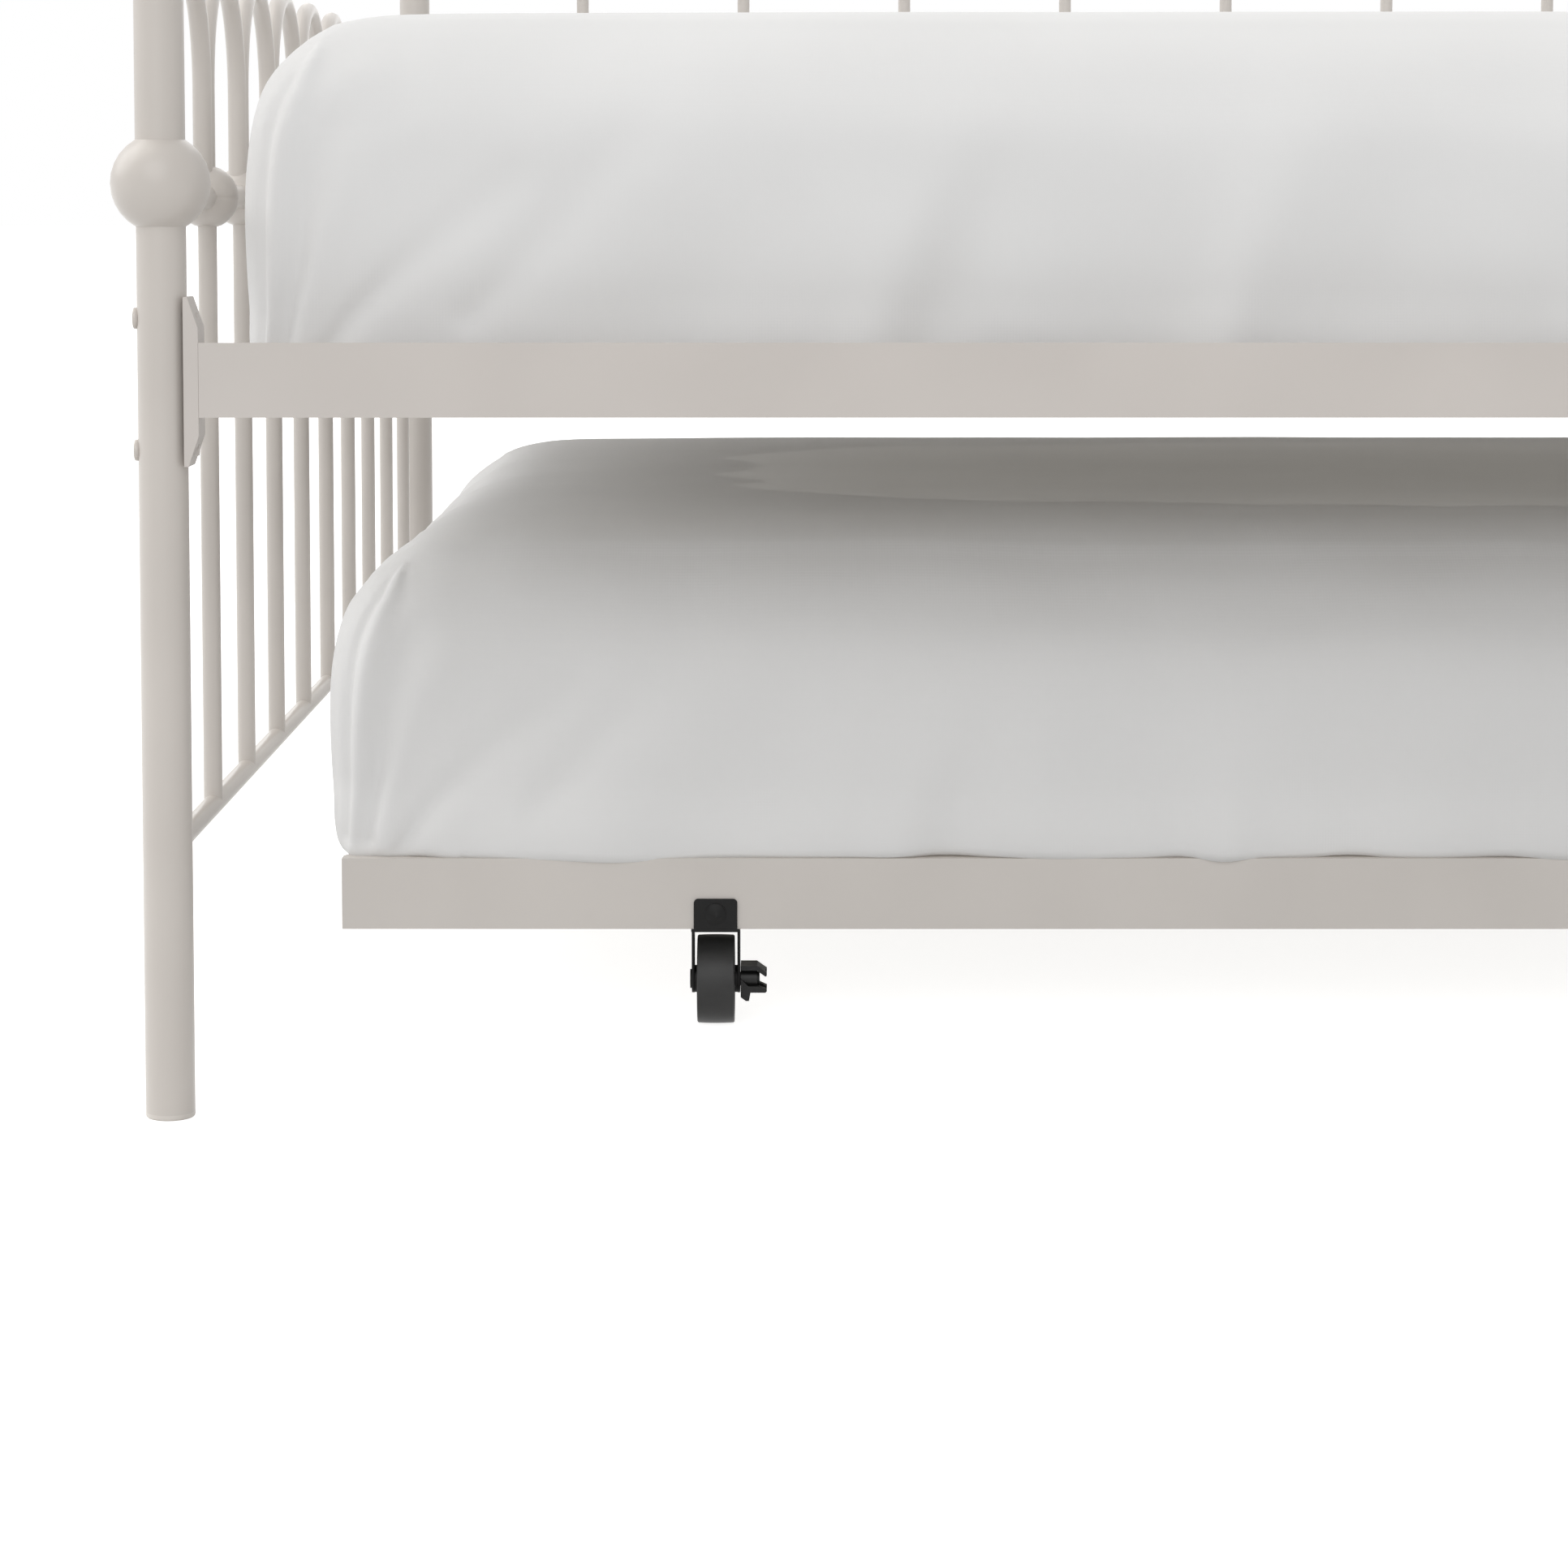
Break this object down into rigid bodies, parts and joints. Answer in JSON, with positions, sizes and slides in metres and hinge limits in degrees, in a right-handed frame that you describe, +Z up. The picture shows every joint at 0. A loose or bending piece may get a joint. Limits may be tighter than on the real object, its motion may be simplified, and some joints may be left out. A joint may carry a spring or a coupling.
{
  "type": "trundle daybed",
  "caption": "Full-size metal daybed with ball-jointed posts and hooped arms and back, over a pull-out twin trundle on casters, both with mattresses.",
  "frame": {"origin": "centre of the bounding box's footprint, on the floor", "axes": "+X along the bed to the right seen from the front, -Y to the front where the trundle pulls out, +Z up"},
  "size_m": [1.9927, 1.4718, 1.0218],
  "materials": {
    "frame_paint": "satin",
    "rail_paint": "satin",
    "slat_paint": "satin",
    "cap_plastic": "matte",
    "zinc_steel": "satin",
    "caster_black": "satin",
    "lever_black": "satin",
    "wheel_nylon": "satin",
    "mattress_fabric": "matte"
  },
  "bodies": {
    "daybed": {"front_left_post": "frame_paint", "front_right_post": "frame_paint", "rear_left_post": "frame_paint", "rear_right_post": "frame_paint", "foot_caps": "cap_plastic", "post_balls": "frame_paint", "post_finials": "frame_paint", "left_arm_lower_rail": "frame_paint", "left_arm_bar": "frame_paint", "left_arm_spindles": "frame_paint", "left_arm_hoops": "frame_paint", "left_arm_bar_balls": "frame_paint", "right_arm_lower_rail": "frame_paint", "right_arm_bar": "frame_paint", "right_arm_spindles": "frame_paint", "right_arm_hoops": "frame_paint", "right_arm_bar_balls": "frame_paint", "back_lower_rail": "frame_paint", "back_bar": "frame_paint", "back_spindles": "frame_paint", "back_hoops": "frame_paint", "back_bar_balls": "frame_paint", "front_side_rail": "rail_paint", "rear_side_rail": "rail_paint", "rail_brackets": "rail_paint", "bracket_nuts": "zinc_steel", "post_bolts": "rail_paint", "deck_slats": "slat_paint", "deck_slat_caps": "cap_plastic", "deck_slat_screws": "zinc_steel", "daybed_mattress": "mattress_fabric"},
    "trundle": {"trundle_front_rail": "rail_paint", "trundle_rear_rail": "rail_paint", "trundle_left_rail": "rail_paint", "trundle_right_rail": "rail_paint", "trundle_slats": "slat_paint", "trundle_slat_caps": "cap_plastic", "trundle_slat_screws": "zinc_steel", "trundle_mattress": "mattress_fabric", "front_left_fork": "caster_black", "front_right_fork": "caster_black", "rear_left_fork": "caster_black", "rear_right_fork": "caster_black", "caster_bolts": "caster_black", "caster_nuts": "zinc_steel", "caster_axles": "caster_black", "axle_washers": "caster_black", "axle_push_nuts": "caster_black"},
    "front_left_wheel": {"front_left_wheel": "wheel_nylon"},
    "front_right_wheel": {"front_right_wheel": "wheel_nylon"},
    "rear_left_wheel": {"rear_left_wheel": "wheel_nylon"},
    "rear_right_wheel": {"rear_right_wheel": "wheel_nylon"},
    "left_brake_lever": {"left_brake_lever": "lever_black"},
    "right_brake_lever": {"right_brake_lever": "lever_black"}
  },
  "joints": [
    {"name": "trundle_slide", "type": "slide", "parent": "daybed", "child": "trundle", "axis": [0, -1, 0], "range_m": [-0.17, 1.25]},
    {"name": "front_left_wheel_spin", "type": "hinge", "parent": "trundle", "child": "front_left_wheel", "pos_m": [-0.6932, -0.473, 0.0254], "axis": [1, 0, 0], "continuous": true},
    {"name": "front_right_wheel_spin", "type": "hinge", "parent": "trundle", "child": "front_right_wheel", "pos_m": [0.6932, -0.473, 0.0254], "axis": [1, 0, 0], "continuous": true},
    {"name": "rear_left_wheel_spin", "type": "hinge", "parent": "trundle", "child": "rear_left_wheel", "pos_m": [-0.6932, 0.479, 0.0254], "axis": [1, 0, 0], "continuous": true},
    {"name": "rear_right_wheel_spin", "type": "hinge", "parent": "trundle", "child": "rear_right_wheel", "pos_m": [0.6932, 0.479, 0.0254], "axis": [1, 0, 0], "continuous": true},
    {"name": "left_brake_lever_press", "type": "hinge", "parent": "trundle", "child": "left_brake_lever", "pos_m": [-0.6932, -0.473, 0.0254], "axis": [1, 0, 0], "range_deg": [0, 25]},
    {"name": "right_brake_lever_press", "type": "hinge", "parent": "trundle", "child": "right_brake_lever", "pos_m": [0.6932, -0.473, 0.0254], "axis": [1, 0, 0], "range_deg": [0, 25]}
  ],
  "couplings": [
    {"joint": "front_left_wheel_spin", "follows": "trundle_slide", "rad_per_m": 39.37},
    {"joint": "front_right_wheel_spin", "follows": "trundle_slide", "rad_per_m": 39.37},
    {"joint": "rear_left_wheel_spin", "follows": "trundle_slide", "rad_per_m": 39.37},
    {"joint": "rear_right_wheel_spin", "follows": "trundle_slide", "rad_per_m": 39.37}
  ]
}
